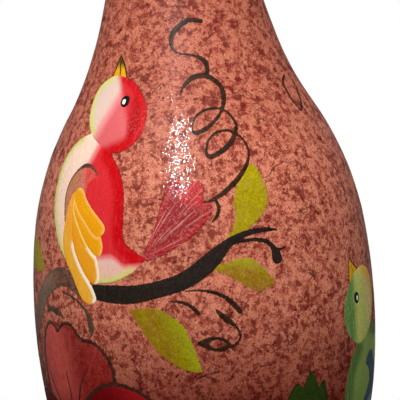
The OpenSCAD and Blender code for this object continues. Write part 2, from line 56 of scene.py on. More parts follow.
coat_low, coat_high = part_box("ground_coat")
BELLY_R = (coat_high.x - coat_low.x) / 2 / MM - COAT
FOOT_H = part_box("foot_ring")[1].z / MM
STEP_MM = 1.0
BELOW_BELLY = ((247, 7.7), (112, 38))
ABOVE_BELLY = ((192.6, 8.4), (115, 31.5), (-122.5, 18.7), (-190, 0), (-16, -35), (5, 90))


def arcs_from(point, arcs):
    """The [radius, height, lean in degrees] points along arcs of (bend radius, lean at the end)."""
    points = [point]
    for bend, lean in arcs:
        r, z, start = points[-1]
        count = max(2, math.ceil(abs(bend * math.radians(lean - start)) / STEP_MM))
        for i in range(1, count + 1):
            a = start + (lean - start) * i / count
            points.append((
                r - bend * (math.cos(math.radians(start)) - math.cos(math.radians(a))),
                z + bend * (math.sin(math.radians(a)) - math.sin(math.radians(start))), a))
    return points


drop = arcs_from((BELLY_R, 0.0, 0.0), BELOW_BELLY)
belly_z = FOOT_H + drop[-1][1]
outline = np.array([(r, belly_z - z, -lean) for r, z, lean in reversed(drop)]
                   + arcs_from((BELLY_R, belly_z, 0.0), ABOVE_BELLY)[1:])
RADIUS, HEIGHT, LEAN = outline[:, 0], outline[:, 1], np.radians(outline[:, 2])
RUN = np.concatenate([[0], np.cumsum(np.hypot(np.diff(RADIUS), np.diff(HEIGHT)))])


SWELLS = ((0.16, 31), (0.07, 9), (0.02, 3.1))  # height and width, in mm


def swell(points):
    """Unevenness of the hand-built, hand-smoothed clay at points, in mm."""
    return np.array([sum(height * noise.noise(Vector(p) / width) for height, width in SWELLS)
                     for p in points])


def on_vase(azimuth, run, lift):
    """Points at an azimuth in radians, a run along the outline and a lift off the bare clay."""
    r, z, lean = (np.interp(run, RUN, values) for values in (RADIUS, HEIGHT, LEAN))
    r, z = r + lift * np.cos(lean), z + lift * np.sin(lean)
    return np.stack([r * np.sin(azimuth), -r * np.cos(azimuth), z], axis=-1)


def off_vase(points):
    """The azimuth, run and lift of points."""
    r, z = np.hypot(points[:, 0], points[:, 1]), points[:, 2]
    run = np.interp(z, HEIGHT, RUN)
    for _ in range(4):
        at_r, at_z, lean = (np.interp(run, RUN, values) for values in (RADIUS, HEIGHT, LEAN))
        run = run + (z - at_z) * np.cos(lean) - (r - at_r) * np.sin(lean)
    return (np.arctan2(points[:, 0], -points[:, 1]), run,
            (r - at_r) * np.cos(lean) + (z - at_z) * np.sin(lean))


def smoothstep(x, low, high):
    t = np.clip((x - low) / (high - low), 0, 1)
    return t * t * (3 - 2 * t)


def made_object(name, points, faces):
    """A smooth-shaded object of points in mm."""
    mesh = bpy.data.meshes.new(name)
    mesh.from_pydata([tuple(p) for p in np.asarray(points) * MM], [], faces)
    mesh.polygons.foreach_set("use_smooth", [True] * len(mesh.polygons))
    obj = bpy.data.objects.new(name, mesh)
    bpy.context.scene.collection.objects.link(obj)
    return obj


# ---- Node graphs ----

def srgb(r, g, b):
    linear = [c / 255 / 12.92 if c <= 10 else ((c / 255 + 0.055) / 1.055) ** 2.4 for c in (r, g, b)]
    return (*linear, 1.0)


def grey(level):
    return level, level, level, 1.0


class Graph:
    """A node tree that is written as nested calls."""

    def __init__(self, tree):
        self.tree = tree

    def node(self, kind, inputs=None, **settings):
        made = self.tree.nodes.new(kind)
        for key, value in settings.items():
            setattr(made, key, value)
        for key, value in (inputs or {}).items():
            if isinstance(value, bpy.types.NodeSocket):
                self.tree.links.new(value, made.inputs[key])
            else:
                made.inputs[key].default_value = value
        return made

    def attribute(self, name):
        return self.node("ShaderNodeAttribute", attribute_name=name).outputs["Fac"]

    def math(self, operation, *values):
        return self.node("ShaderNodeMath", dict(enumerate(values)), operation=operation).outputs[0]

    def step(self, value, low, high):
        """0 where value is at low or beyond it, rising smoothly to 1 at high."""
        return self.node("ShaderNodeMapRange", {"Value": value, "From Min": low, "From Max": high},
                         interpolation_type="SMOOTHSTEP").outputs[0]

    def mix(self, factor, a, b, blend="MIX"):
        return self.node("ShaderNodeMix", {0: factor, 6: a, 7: b},
                         data_type="RGBA", blend_type=blend).outputs[2]

    def cover(self, colour, mask, strength, tone):
        """The colour with a tone over it where the mask is 1, as strongly as strength says."""
        return self.mix(self.math("MULTIPLY", mask, strength), colour, srgb(*tone))

    def noise(self, vector, scale, detail=3.0, roughness=0.55, distortion=0.0):
        return self.node("ShaderNodeTexNoise", {
            "Vector": vector, "Scale": scale, "Detail": detail, "Roughness": roughness,
            "Distortion": distortion}).outputs[0]

    def place(self):
        """Where a point is on the vase, in mm."""
        at = self.node("ShaderNodeTexCoord").outputs["Object"]
        return self.stretched(at, 1 / MM, 1 / MM, 1 / MM)

    def stretched(self, vector, x, y, z):
        return self.node("ShaderNodeVectorMath", {0: vector, 1: (x, y, z)},
                         operation="MULTIPLY").outputs[0]

    def split(self, vector):
        return self.node("ShaderNodeSeparateXYZ", {0: vector}).outputs


def new_graph(name):
    material = bpy.data.materials.new(name)
    material.use_nodes = True
    material.node_tree.nodes.clear()
    return material, Graph(material.node_tree)


def finish_surface(g, colour, height, relief, roughness, coat, coat_roughness):
    """The shader that a graph ends in. relief is the height's depth in mm."""
    bumped = g.node("ShaderNodeBump", {
        "Height": height, "Distance": relief * MM, "Strength": 1.0}).outputs[0]
    shader = g.node("ShaderNodeBsdfPrincipled", {
        "Base Color": colour, "Roughness": roughness, "Specular IOR Level": 0.08,
        "Coat Weight": coat, "Coat Roughness": coat_roughness,
        "Normal": bumped, "Coat Normal": bumped})
    g.node("ShaderNodeOutputMaterial", {"Surface": shader.outputs[0]})


def ground_group():
    """Sponged terracotta-pink ground: light, middle and dark dabs, specks and hairline crackle."""
    group = bpy.data.node_groups.new("Sponged ground", "ShaderNodeTree")
    for name, kind in (("Color", "NodeSocketColor"), ("Height", "NodeSocketFloat"),
                       ("Gloss", "NodeSocketFloat")):
        group.interface.new_socket(name, in_out="OUTPUT", socket_type=kind)
    g = Graph(group)
    place = g.place()
    height_up = g.split(place)[2]
    # the sponge's dabs, then finer and finer marks over them
    dabs = g.noise(place, 0.34, 4.0, 0.62)
    colour = g.mix(g.step(dabs, 0.34, 0.60), srgb(161, 68, 51), srgb(216, 127, 99))
    grain = g.noise(place, 1.7, 3.0, 0.62)
    colour = g.cover(colour, g.step(grain, 0.50, 0.64), 0.60, (224, 162, 136))
    colour = g.cover(colour, g.step(grain, 0.48, 0.36), 0.52, (122, 42, 32))
    dots = g.noise(place, 0.46, 2.0, 0.5)
    colour = g.cover(colour, g.step(dots, 0.55, 0.64), 0.72, (134, 44, 34))
    # darker clots of the sponge, gathered in loose patches
    patches = g.noise(place, 0.075, 3.0, 0.6)
    clots = g.noise(place, 0.30, 6.0, 0.70, 0.3)
    gathered = g.math("ADD", clots, g.math("MULTIPLY", patches, 0.30))
    colour = g.cover(colour, g.step(gathered, 0.690, 0.755), 0.80, (114, 32, 26))
    specks = g.noise(place, 0.50, 2.0, 0.5)
    colour = g.cover(colour, g.step(specks, 0.66, 0.72), 0.85, (80, 24, 22))
    # hairline crackle, mostly running up the wall
    wander = g.node("ShaderNodeTexNoise", {
        "Vector": place, "Scale": 0.12, "Detail": 3.0}).outputs["Color"]
    bent = g.node("ShaderNodeVectorMath", {
        0: g.stretched(place, 0.075, 0.075, 0.028), 1: g.stretched(wander, 0.9, 0.9, 0.5)},
        operation="ADD").outputs[0]
    cells = g.node("ShaderNodeTexVoronoi", {"Vector": bent, "Scale": 1.0},
                   feature="DISTANCE_TO_EDGE").outputs["Distance"]
    gaps = g.noise(place, 0.07, 4.0, 0.65)
    crack = g.math("MULTIPLY", g.step(cells, 0.015, 0.005), g.step(gaps, 0.51, 0.56))
    colour = g.cover(colour, crack, 0.75, (84, 34, 28))
    # painted shade: darker and browner towards the foot, and a little darker and duller above the
    # shoulder
    for start, full, tone in ((100.0, 38.0, (134, 68, 58)), (136.0, 166.0, (230, 224, 224))):
        colour = g.mix(g.step(height_up, start, full), colour, srgb(*tone), "MULTIPLY")
    pores = g.noise(place, 1.15, 1.0, 0.5)
    lumps = g.noise(place, 0.24, 1.0, 0.5)
    height = g.math("SUBTRACT", g.math("ADD", pores, g.math("MULTIPLY", lumps, 0.5)),
                    g.math("MULTIPLY", crack, 0.5))
    # the varnish lies in fine beads, and is thin up the neck
    beads = g.step(g.noise(place, 1.3, 1.0, 0.5), 0.51, 0.57)
    ragged_height = g.math("MULTIPLY_ADD", patches, 30.0, height_up)
    thick = g.math("MULTIPLY_ADD", g.step(ragged_height, 184.0, 172.0), 0.86, 0.04)
    g.node("NodeGroupOutput", {
        "Color": colour, "Height": height, "Gloss": g.math("MULTIPLY", beads, thick)})
    return group


SPONGED = ground_group()
RELIEF = 0.13  # depth of the ground's pores and lumps
CLAY_RELIEF = 0.18
COAT_ROUGHNESS = 0.03


def ground_material():
    material, g = new_graph("ground_coat")
    ground = g.node("ShaderNodeGroup", node_tree=SPONGED).outputs
    roughness = g.math("MULTIPLY_ADD", ground["Height"], 0.10, 0.35)
    finish_surface(g, ground["Color"], ground["Height"], RELIEF, roughness, ground["Gloss"],
                   COAT_ROUGHNESS)
    return material


def clay_material():
    """Bare fired clay, at the foot and down the neck: soft smoke-marks, grit and fine lines."""
    material, g = new_graph("fired_clay")
    place = g.place()
    cloud = g.noise(place, 0.05, 4.0, 0.6)
    colour = g.mix(g.step(cloud, 0.35, 0.65), srgb(150, 88, 62), srgb(188, 120, 88))
    grit = g.noise(place, 1.8, 4.0, 0.7)
    colour = g.cover(colour, g.step(grit, 0.60, 0.68), 0.6, (214, 156, 122))
    colour = g.cover(colour, g.step(grit, 0.38, 0.30), 0.6, (104, 56, 40))
    lines = g.noise(g.stretched(place, 0.04, 0.04, 1.1), 1.0, 3.0, 0.6)
    height = g.math("ADD", g.math("MULTIPLY", lines, 0.8), g.math("MULTIPLY", grit, 0.5))
    roughness = g.math("MULTIPLY_ADD", grit, 0.2, 0.68)
    finish_surface(g, colour, height, CLAY_RELIEF, roughness, 0.0, 0.3)
    return material


def paint_material(name, paint):
    """Brushed acrylic under varnish. A paint's tones are blended over its base in turn."""
    material, g = new_graph(name)
    ground = g.node("ShaderNodeGroup", node_tree=SPONGED).outputs
    place = g.place()
    along, across = g.attribute("along"), g.attribute("across")
    brushed = g.node("ShaderNodeCombineXYZ", {
        "X": g.math("MULTIPLY", along, 1 / paint["stroke"][0]),
        "Y": g.math("MULTIPLY", across, 1 / paint["stroke"][1])}).outputs[0]
    streak = g.noise(brushed, 1.0, 4.0, 0.62)
    fine = g.noise(place, 1.6, 3.0, 0.6)
    soft = g.math("ADD", g.math("MULTIPLY", streak, 0.6), g.math("MULTIPLY", fine, 0.4))
    wander = g.math("MULTIPLY_ADD", soft, paint["wander"], -paint["wander"] / 2)
    colour = srgb(*paint["base"])
    for i, (_, low, high, tone) in enumerate(paint["tones"]):
        value = g.math("ADD", g.attribute(f"tone_{i}"), wander)
        colour = g.mix(g.step(value, low, high), colour, srgb(*tone))
    light, dark = paint["streaks"]
    colour = g.cover(colour, g.step(streak, 0.52, 0.72), light, paint["light"])
    colour = g.cover(colour, g.step(streak, 0.46, 0.30), dark, paint["dark"])
    # dark specks in the paint, and light ones that are partly painted glints of the varnish
    specks_and_glints = g.noise(place, 1.2, 2.0, 0.6)
    colour = g.cover(colour, g.step(specks_and_glints, 0.52, 0.64), paint["specks_and_glints"], paint["light"])
    colour = g.cover(colour, g.step(specks_and_glints, 0.48, 0.36), paint["specks_and_glints"], paint["dark"])
    # where the paint is thin, and at its ragged edge, the ground shows
    fray = paint["fray"]
    worn = g.math("MULTIPLY_ADD", fine, 4 * fray, -2 * fray)
    ragged = g.step(g.math("ADD", g.attribute("open_edge"), worn), fray, 0.1 * fray)
    body = g.math("ADD", g.math("MULTIPLY", streak, 0.5),
                  g.math("MULTIPLY", ground["Height"], 0.28))
    thin = g.math("MULTIPLY_ADD", g.step(body, 0.62, 0.32), paint["thin"], paint["wash"])
    colour = g.mix(g.math("MAXIMUM", ragged, thin), colour, ground["Color"])
    height = g.math("ADD", g.math("MULTIPLY", ground["Height"], 0.55),
                    g.math("MULTIPLY", streak, 0.55))
    roughness = g.math("MULTIPLY_ADD", streak, 0.2, 0.30)
    finish_surface(g, colour, height, RELIEF * paint["relief"], roughness,
                   ground["Gloss"], COAT_ROUGHNESS)
    return material


# ---- Fields: a number for each point of a film, from which its tones are blended ----
# x and z are measured from the motif's own origin, with x the way that the front shows it.

def slope(dx, dz):
    return lambda film: film["x"] * dx + film["z"] * dz


FAR = 40.0  # further than any tone reaches


def rim(dx, dz, least=0.2, open_only=True):
    """Distance to those parts of the outline that face the way of (dx, dz)."""
    def field(film):
        edge = film["outline"]
        facing = edge["normal"] @ (np.array([dx, dz]) / math.hypot(dx, dz)) > least
        if open_only:
            facing &= edge["free"]
        return nearest(film["points"], edge["points"][facing], FAR)[0]
    return field


def rim_below(dx, dz, least, z):
    """The same distance, kept off whatever is above height z."""
    return lambda film: np.maximum(rim(dx, dz, least, False)(film), 0.5 * (film["z"] - z))


def from_point(x, z, sx=1.0, sz=1.0):
    return lambda film: np.hypot((film["x"] - x) / sx, (film["z"] - z) / sz)


def back_of_body(film):
    """Falls below 0 over the bird's pale back, as far as the wing's front edge."""
    return np.minimum(film["x"] - 0.55 * film["z"] - 0.6, film["x"] + 18.5)


def under_body(film):
    """Rises above 0 over the bird's pale underside, below the red band that runs to its tail."""
    return -51.8 - 3.9 * smoothstep(film["x"], 3.0, 9.5) - film["z"]


def lime_of_body(film):
    """Distance to the edge of the back and underside, but for the red tip."""
    return rim(-0.85, -0.53, -0.15)(film) + 3.4 * smoothstep(film["x"], 10.0, 15.0)


# where one feather lies over the next, on the wings whose feathers are one film
FEATHER_EDGES = (
    ((-13.4, -27.5), (-15.2, -34), (-15.2, -41), (-14, -48), (-11.2, -54), (-7.5, -59.5),
     (-4, -61.5)),
    ((-12.8, -28), (-14.4, -33.5), (-12.2, -39), (-9.2, -44.5), (-6, -49), (-3, -51.6)),
    ((-14.4, -28.8), (-12.6, -33.5), (-8.6, -38.6), (-3.4, -44.3)))


def feather_edges(film):
    """Distance to the lines between one feather and the next, thinning out towards their roots."""
    found = np.full(len(film["x"]), FAR)
    for line in FEATHER_EDGES:
        for (x0, z0), (x1, z1) in zip(line, line[1:]):
            x, z, dx, dz = film["x"] - x0, film["z"] - z0, x1 - x0, z1 - z0
            share = np.clip((x * dx + z * dz) / (dx ** 2 + dz ** 2), 0, 1)
            found = np.minimum(found, np.hypot(x - share * dx, z - share * dz))
    return found + 1.2 * smoothstep(film["z"], -38.0, -29.0)


def nearest(points, targets, far):
    """How far each point is from the targets, or far if there are none, and which is nearest."""
    if not len(targets):
        return np.full(len(points), far), np.zeros(len(points), int)
    tree = kdtree.KDTree(len(targets))
    for i, target in enumerate(targets):
        tree.insert(target, i)
    tree.balance()
    found = [tree.find(p) for p in points]
    return np.array([f[2] for f in found]), np.array([f[1] for f in found])


# ---- Paints ----
# tones: (field, value where the tone starts, value where it is full, colour)
# stroke: length and width of the brush's streaks; streaks: how strong the light and dark ones are
# thin and wash: how much ground shows between the streaks and all over; fray: at the open edge
# wander: how unevenly tones meet; the dots' strength: dark specks, and light ones that are partly
# painted glints; relief: 1 is the ground's

def paint(base, tones=(), stroke=(9, 0.9), brush=None, light=None, dark=None, streaks=(0.25, 0.25),
          thin=0.0, wash=0.0, wander=1.2, fray=0.2, specks_and_glints=0.12, relief=1.0):
    return {"base": base, "tones": list(tones), "stroke": stroke, "brush": brush,
            "light": light or tuple(min(255, c + 34) for c in base),
            "dark": dark or tuple(int(c * 0.72) for c in base),
            "streaks": streaks, "thin": thin, "wash": wash, "wander": wander, "fray": fray,
            "specks_and_glints": specks_and_glints, "relief": relief}


CREAM, PALE, PINK = (219, 192, 176), (246, 214, 190), (232, 134, 130)
RED, DEEP_RED = (212, 42, 48), (194, 5, 14)
LIME, BLACK = (207, 208, 116), (30, 27, 23)
MOSS, OXBLOOD = (140, 134, 60), (138, 10, 14)

red_head = paint(CREAM, [
    (slope(0.88, -0.48), -5.6, -2.6, (228, 144, 142)),
    (slope(0.88, -0.48), -3.4, 0.4, (214, 96, 98)),
    (slope(0.90, 0.42), 2.4, 5.6, (202, 38, 46)), (slope(1, 0), 5.0, 8.0, (172, 0, 6)),
    (slope(0.3, -1.0), 9.5, 13.5, DEEP_RED),
    (rim(0.95, -0.3, 0.0), 3.6, 1.6, DEEP_RED), (rim(0.95, -0.3, 0.0), 0.8, 0.2, OXBLOOD),
    (rim(-0.85, 0.3, 0.1), 3.8, 0.8, LIME), (rim(-0.85, 0.3, 0.1), 0.6, 0.1, MOSS)],
    brush=("line", 0.2, 0.98), streaks=(0.12, 0.10), light=(240, 140, 140), dark=(186, 16, 24),
    specks_and_glints=0.05, relief=0.4, wander=1.6)
red_body = paint(RED, [
    (rim(0.9, 0.4, 0.05), 6.2, 3.0, DEEP_RED), (rim(0.9, 0.4, 0.05), 0.8, 0.2, OXBLOOD),
    (back_of_body, 3.2, 0.4, PINK), (back_of_body, 0.8, -1.4, PALE),
    (under_body, -1.4, 0.6, PINK), (under_body, 0.2, 1.8, (230, 186, 168)),
    (lime_of_body, 3.8, 0.6, LIME), (lime_of_body, 0.7, 0.1, MOSS)],
    brush=("line", 0.05, 1.0), streaks=(0.22, 0.2), light=(236, 84, 92), dark=(188, 10, 22),
    relief=0.4, wander=1.8)
wing_brown = paint((184, 124, 88), [
    (slope(1, 0.12), -16.5, -13.0, (214, 108, 96)), (slope(1, 0.12), -13.5, -10.8, (216, 50, 54))],
    brush=("line", 0.2, 1.0), streaks=(0.3, 0.4), thin=0.3, wash=0.06)
feather_long = paint((238, 170, 46), [
    (slope(0.1, 1), -50, -38, (240, 158, 48)),
    (rim_below(0.9, 0.35, 0.2, -48.5), 1.9, 0.8, (250, 238, 220))],
    brush=("leaf",), light=(246, 204, 116), dark=(230, 140, 26), streaks=(0.5, 0.4),
    stroke=(14, 0.8), relief=0.5)
feather_middle = paint((234, 156, 26), [
    (slope(0.1, 1), -44, -32, (234, 164, 40)),
    (rim_below(-0.9, -0.3, 0.2, -44), 2.2, 0.6, (240, 146, 8)),
    (rim(0.9, 0.3, 0.3, False), 1.2, 0.5, (250, 200, 110)),
    (rim_below(0.9, 0.3, 0.2, -51), 1.9, 0.8, (250, 228, 190))],
    brush=("leaf",), light=(246, 192, 88), dark=(224, 134, 8), streaks=(0.5, 0.4),
    stroke=(14, 0.9), relief=0.5)
feather_orange = paint((234, 156, 12), [
    (rim(0.75, 0.3, 0.35, False), 1.7, 0.3, (246, 180, 88)),
    (slope(0.3, 1), -30, -27, (230, 160, 22))],
    brush=("leaf",), light=(244, 180, 60), dark=(222, 136, 6), streaks=(0.5, 0.4),
    stroke=(12, 1.0), relief=0.5)
feathers_orange = paint((234, 156, 12), [
    (slope(0.3, 1), -30, -27, (230, 160, 22)), (feather_edges, 1.1, 0.5, (250, 228, 190))],
    brush=("line", -0.35, 0.94), light=(244, 180, 60), dark=(222, 136, 6), streaks=(0.5, 0.4),
    stroke=(12, 1.0), relief=0.5)
red_tail = paint((148, 8, 25), [
    (rim(-0.9, 0.3, 0.1), 3.0, 0.8, (176, 14, 30)),
    (rim(0.5, -0.85, 0.1), 4.0, 1.0, (170, 14, 28)),
    (from_point(34, -31, 5.5, 5.5), 1.1, 0.7, (190, 20, 32)),
    (rim(0, 1, -1.1), 1.0, 0.2, (122, 6, 18))],
    brush=("fan", 15.8, -53.3), light=(232, 172, 164), dark=(104, 2, 12), streaks=(0.85, 0.85),
    stroke=(26, 1.3), thin=0.18, fray=0.25, specks_and_glints=0.22, wander=2.6)
beak_ochre = paint((220, 158, 20), [(slope(0.1, 1), 15.4, 18.8, (62, 46, 22))],
                   brush=("line", 0.1, 1), streaks=(0.3, 0.3), relief=0.5)
beak_lines = paint((52, 36, 18), relief=0.6)
eye_black = paint((18, 14, 14), relief=0.3, streaks=(0.0, 0.0))
glint_white = paint((248, 246, 240), relief=0.3, streaks=(0.0, 0.05))
wing_line = paint((72, 58, 46), thin=0.25, streaks=(0.2, 0.3))
branch_black = paint(BLACK, light=(56, 52, 46), dark=(12, 12, 12), streaks=(0.45, 0.4), thin=0.03,
                     specks_and_glints=0.35, relief=0.5)
tendril_black = paint((24, 21, 13), light=(66, 56, 38), dark=(12, 10, 7), streaks=(0.35, 0.2),
                      thin=0.12, fray=0.28, specks_and_glints=0.3, relief=0.5)
bough_grey = paint((108, 100, 82), [
    (slope(1, 0), -57.5, -51.0, (58, 52, 42)), (rim(0, 1, -1.1), 0.8, 0.2, (64, 56, 44))],
    light=(132, 122, 100), dark=(76, 68, 56), streaks=(0.5, 0.4), thin=0.26, wash=0.05,
    fray=0.3, specks_and_glints=0.5)
tendril_grey = paint((64, 58, 46), light=(92, 84, 68), dark=(44, 40, 32), streaks=(0.5, 0.4),
                     thin=0.2, fray=0.3, specks_and_glints=0.5)
leaf = paint((162, 148, 0), [(rim(0, 1, -1.1), 1.3, 0.2, (150, 124, 6))], brush=("leaf",),
             light=(190, 182, 6), dark=(138, 116, 2), streaks=(0.5, 0.7), stroke=(7, 1.7),
             thin=0.16, fray=0.6, specks_and_glints=0.45, wander=2.2)
leaf_brown = paint((142, 110, 0), [(slope(0.2, 1), 1.0, 5.5, (150, 152, 2))], brush=("leaf",),
                   light=(166, 160, 4), dark=(124, 90, 2), streaks=(0.5, 0.7), stroke=(7, 1.7),
                   thin=0.22, wash=0.02, fray=0.6, specks_and_glints=0.45, wander=2.2)
leaf_low = paint((140, 112, 0), [(slope(1, 0.35), -4.0, 10.0, (154, 170, 0))],
    brush=("leaf",), light=(164, 156, 14), dark=(118, 90, 6), streaks=(0.5, 0.6), stroke=(8, 1.8),
    thin=0.16, wash=0.01, fray=0.6, specks_and_glints=0.4, wander=3.0)

petal_back = paint((208, 84, 76), [
    (slope(0.9, 0.2), 2.0, 14.0, (128, 16, 20)), (from_point(0, 0), 20, 8, (130, 12, 20))],
    brush=("fan", 0, 0), light=(220, 98, 86), dark=(160, 34, 37), streaks=(0.4, 0.5),
    stroke=(16, 1.4), thin=0.20, wash=0.05)
petal_front = paint((106, 4, 12), [(from_point(0, 0), 24, 36, (150, 20, 24))], brush=("fan", 0, 0),
                    light=(158, 30, 34), dark=(96, 2, 10), streaks=(0.45, 0.5), stroke=(16, 1.4),
                    thin=0.05)
petal_line = paint((40, 26, 22), [(slope(1, -0.35), -14.0, -26.0, (70, 52, 44))],
                   light=(84, 58, 48), streaks=(0.4, 0.2), thin=0.26, fray=0.35)
flower_eye = paint((214, 158, 30), [(from_point(0, 0), 3.2, 1.0, (240, 196, 60)),
                                    (rim(0, 1, -1.1), 1.4, 0.4, (140, 70, 18))],
                   streaks=(0.4, 0.4), stroke=(2, 1))

green_head = paint((202, 206, 108), [
    (slope(-1, 0.1), 2.0, 7.0, (236, 206, 130)), (slope(1, 0), 3.0, 8.5, (92, 136, 70)),
    (rim(-0.9, 0.2, 0.1), 2.6, 1.0, (214, 164, 104)), (slope(-0.5, 1), 9.0, 14.0, (240, 186, 70))],
    brush=("line", 0.1, 0.99), light=(236, 230, 146), dark=(112, 126, 50), streaks=(0.5, 0.5),
    relief=0.6)
green_body = paint((150, 174, 88), [
    (rim(-0.85, -0.53, -0.15), 8.0, 4.4, (190, 196, 110)),
    (rim(-0.85, -0.53, -0.15), 3.6, 1.0, (216, 196, 116)),
    (rim(0.9, 0.4, 0.05), 8.0, 3.0, (86, 118, 60))],
    brush=("line", 0.05, 1.0), light=(164, 186, 104), dark=(78, 96, 34), streaks=(0.5, 0.5),
    relief=0.6)
green_tail = paint((36, 60, 16), [(rim(0, 1, -1.1), 1.0, 0.3, (26, 42, 12))],
                   brush=("fan", 15.8, -53.3), light=(84, 110, 50), dark=(22, 40, 10),
                   streaks=(0.45, 0.4), stroke=(20, 1.3), thin=0.06)
wing_blue = paint((66, 88, 98), [(rim(-0.9, 0.2, 0.1), 1.4, 0.4, (120, 142, 146))], brush=("leaf",),
                  light=(120, 144, 150), dark=(36, 54, 64), streaks=(0.45, 0.4))
feathers_blue = paint((66, 88, 98), [
    (rim(-0.9, 0.2, 0.1), 1.4, 0.4, (120, 142, 146)), (feather_edges, 1.1, 0.5, (158, 176, 176))],
    brush=("line", -0.35, 0.94), light=(120, 144, 150), dark=(36, 54, 64), streaks=(0.45, 0.4))


# ---- Motifs' origins: azimuth, x and z of the origin, and -1 where x runs the other way ----

BACK = 172
red_bird = (-28, -6.5, 163, 1)
green_bird = (65, 0, 87, -1)
back_bird = (BACK + 28, -6.5, 163, -1)
front = (0, 0, 0, 1)
back = (BACK, 0, 0, -1)
flower = (-52, -4, 46, 1)
back_flower = (BACK + 52, -4, 46, -1)

films = {
    "branch": (branch_black, front, "black_paint"),
    "twig": (branch_black, front, "black_paint"),
    "left_bough": (bough_grey, front, "bough_grey"),
    "low_branch": (branch_black, front, "black_paint"),
    "side_branch": (branch_black, front, "black_paint"),
    "leaf_upper": (leaf, (0, 18, 128, 1), "leaf_green"),
    "leaf_middle": (leaf_brown, (0, 15, 101, 1), "leaf_green"),
    "leaf_lower": (leaf_low, (0, -13, 80, 1), "leaf_green"),
    "leaf_left": (leaf, (-80, 0, 113, 1), "leaf_green"),
    "side_leaves": (leaf, front, "leaf_green"),
    "spiral_tendril": (tendril_black, front, "black_paint"),
    "lower_tendrils": (tendril_black, front, "black_paint"),
    "left_tendrils": (tendril_grey, front, "bough_grey"),
    "edge_tendrils": (tendril_black, front, "black_paint"),
    "beak_lines": (beak_lines, front, "black_paint"),
    "eye_glints": (glint_white, front, "glint_white"),
    "flower_back_petal": (petal_back, flower, "petal_red"),
    "flower_front_petals": (petal_front, flower, "petal_red"),
    "flower_outlines": (petal_line, flower, "black_paint"),
    "flower_centre": (flower_eye, flower, "beak_ochre"),
    "back_flower_petals": (petal_front, back_flower, "petal_red"),
    "back_flower_outlines": (petal_line, back_flower, "black_paint"),
    "back_flower_centre": (flower_eye, back_flower, "beak_ochre"),
    "back_branch": (branch_black, back, "black_paint"),
    "back_leaves": (leaf, back, "leaf_green"),
    "back_tendrils": (tendril_black, back, "black_paint"),
}
for bird, origin in (("red_bird", red_bird), ("back_bird", back_bird)):
    films.update({
        f"{bird}_body": (red_body, origin, "bird_red"),
        f"{bird}_head": (red_head, origin, "bird_red"),
        f"{bird}_beak": (beak_ochre, origin, "beak_ochre"),
        f"{bird}_eye": (eye_black, origin, "black_paint"),
        f"{bird}_wing": (wing_brown, origin, "wing_brown"),
        f"{bird}_tail": (red_tail, origin, "tail_red")})
films["red_bird_wing_edge"] = (wing_line, red_bird, "wing_brown")
for i, feather in enumerate((feather_long, feather_middle, feather_orange, feather_orange), 1):
    films[f"red_bird_feather_{i}"] = (feather, red_bird, "feather_orange")
films["back_bird_feathers"] = (feathers_orange, back_bird, "feather_orange")
films.update({
    "green_bird_body": (green_body, green_bird, "bird_green"),
    "green_bird_head": (green_head, green_bird, "bird_green"),
    "green_bird_beak": (beak_ochre, green_bird, "beak_ochre"),
    "green_bird_eye": (eye_black, green_bird, "black_paint"),
    "green_bird_wing": (wing_blue, green_bird, "wing_blue"),
    "green_bird_feathers": (feathers_blue, green_bird, "wing_blue"),
    "green_bird_tail": (green_tail, green_bird, "tail_green")})


# ---- Films: each painted CAD solid redrawn as a thin, round-edged skin on the uneven ground ----

OUTER_FACE = COAT + 0.6 * FILM  # CAD corners that lie higher are on a film's outer face
EDGE_STEP = 0.5  # between the points of an outline
INSIDE_STEP = 1.0  # between the points inside it
ROW_STEP = 0.87 * INSIDE_STEP
INSIDE_CLEAR = 0.45 * INSIDE_STEP  # points nearer than this to an outline are left out
RISE_WIDTH = 0.42  # from a film's edge to its full thickness
RISE_CLEAR = 0.3  # the same, for the ring of points at that width
GROW = 0.12  # how far a film reaches past its CAD outline
SHAKE, SHAKE_WIDTH = 0.07, 1.3  # the outline's unevenness
SUNK = 0.25  # how far its underside lies in the ground
EDGE_RISE = 0.012  # its thickness at the edge
THICKNESS = 0.05  # what it rises to beyond that
LAYER, LAYERS = 0.004, 7  # steps between the films' thicknesses, so that neighbours aren't level
TOUCHING = 0.45  # films nearer than this share an edge
NO_EDGE = 9.0  # the distance to the open edge, for a film that has none
SHARP = math.radians(50)
WELD = 2000  # CAD corners within 1 / WELD mm are one
FAN_RADIUS = 26  # where a fan's streaks have the width that its paint says
PLAIN_ACROSS = 3  # how much finer the streaks are where a paint has no brush


def node_points(node):
    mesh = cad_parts[node].data
    flat = np.empty(len(mesh.vertices) * 3, np.float32)
    mesh.vertices.foreach_get("co", flat)
    return flat.reshape(-1, 3).astype(float) / MM, mesh


def outer_loops(node, azimuth):
    """The outlines of a CAD film's outer face: closed lists of [azimuth from the motif's, run]."""
    points, mesh = node_points(node)
    turn, run, lift = off_vase(points)
    turn = (turn - math.radians(azimuth) + math.pi) % (2 * math.pi) - math.pi
    outer = lift > OUTER_FACE
    _, keep, ids = np.unique(np.round(points * WELD).astype(int), axis=0,
                             return_index=True, return_inverse=True)
    ids = ids.reshape(-1)
    mesh.calc_loop_triangles()
    corners = np.empty(len(mesh.loop_triangles) * 3, int)
    mesh.loop_triangles.foreach_get("vertices", corners)
    following, edges = {}, set()
    for tri in corners.reshape(-1, 3):
        if outer[tri].all():
            a, b, c = ids[tri]
            if len({a, b, c}) == 3:
                edges |= {(a, b), (b, c), (c, a)}
    for a, b in edges:
        if (b, a) not in edges:
            following.setdefault(a, []).append(b)
    loops = []
    while following:
        start = next(iter(following))
        loop, at = [], start
        while at in following:
            loop.append(at)
            step = following[at].pop()
            if not following[at]:
                del following[at]
            at = step
        if len(loop) > 3:
            picked = keep[loop]
            loops.append(np.stack([turn[picked], run[picked]], axis=1))
    return loops


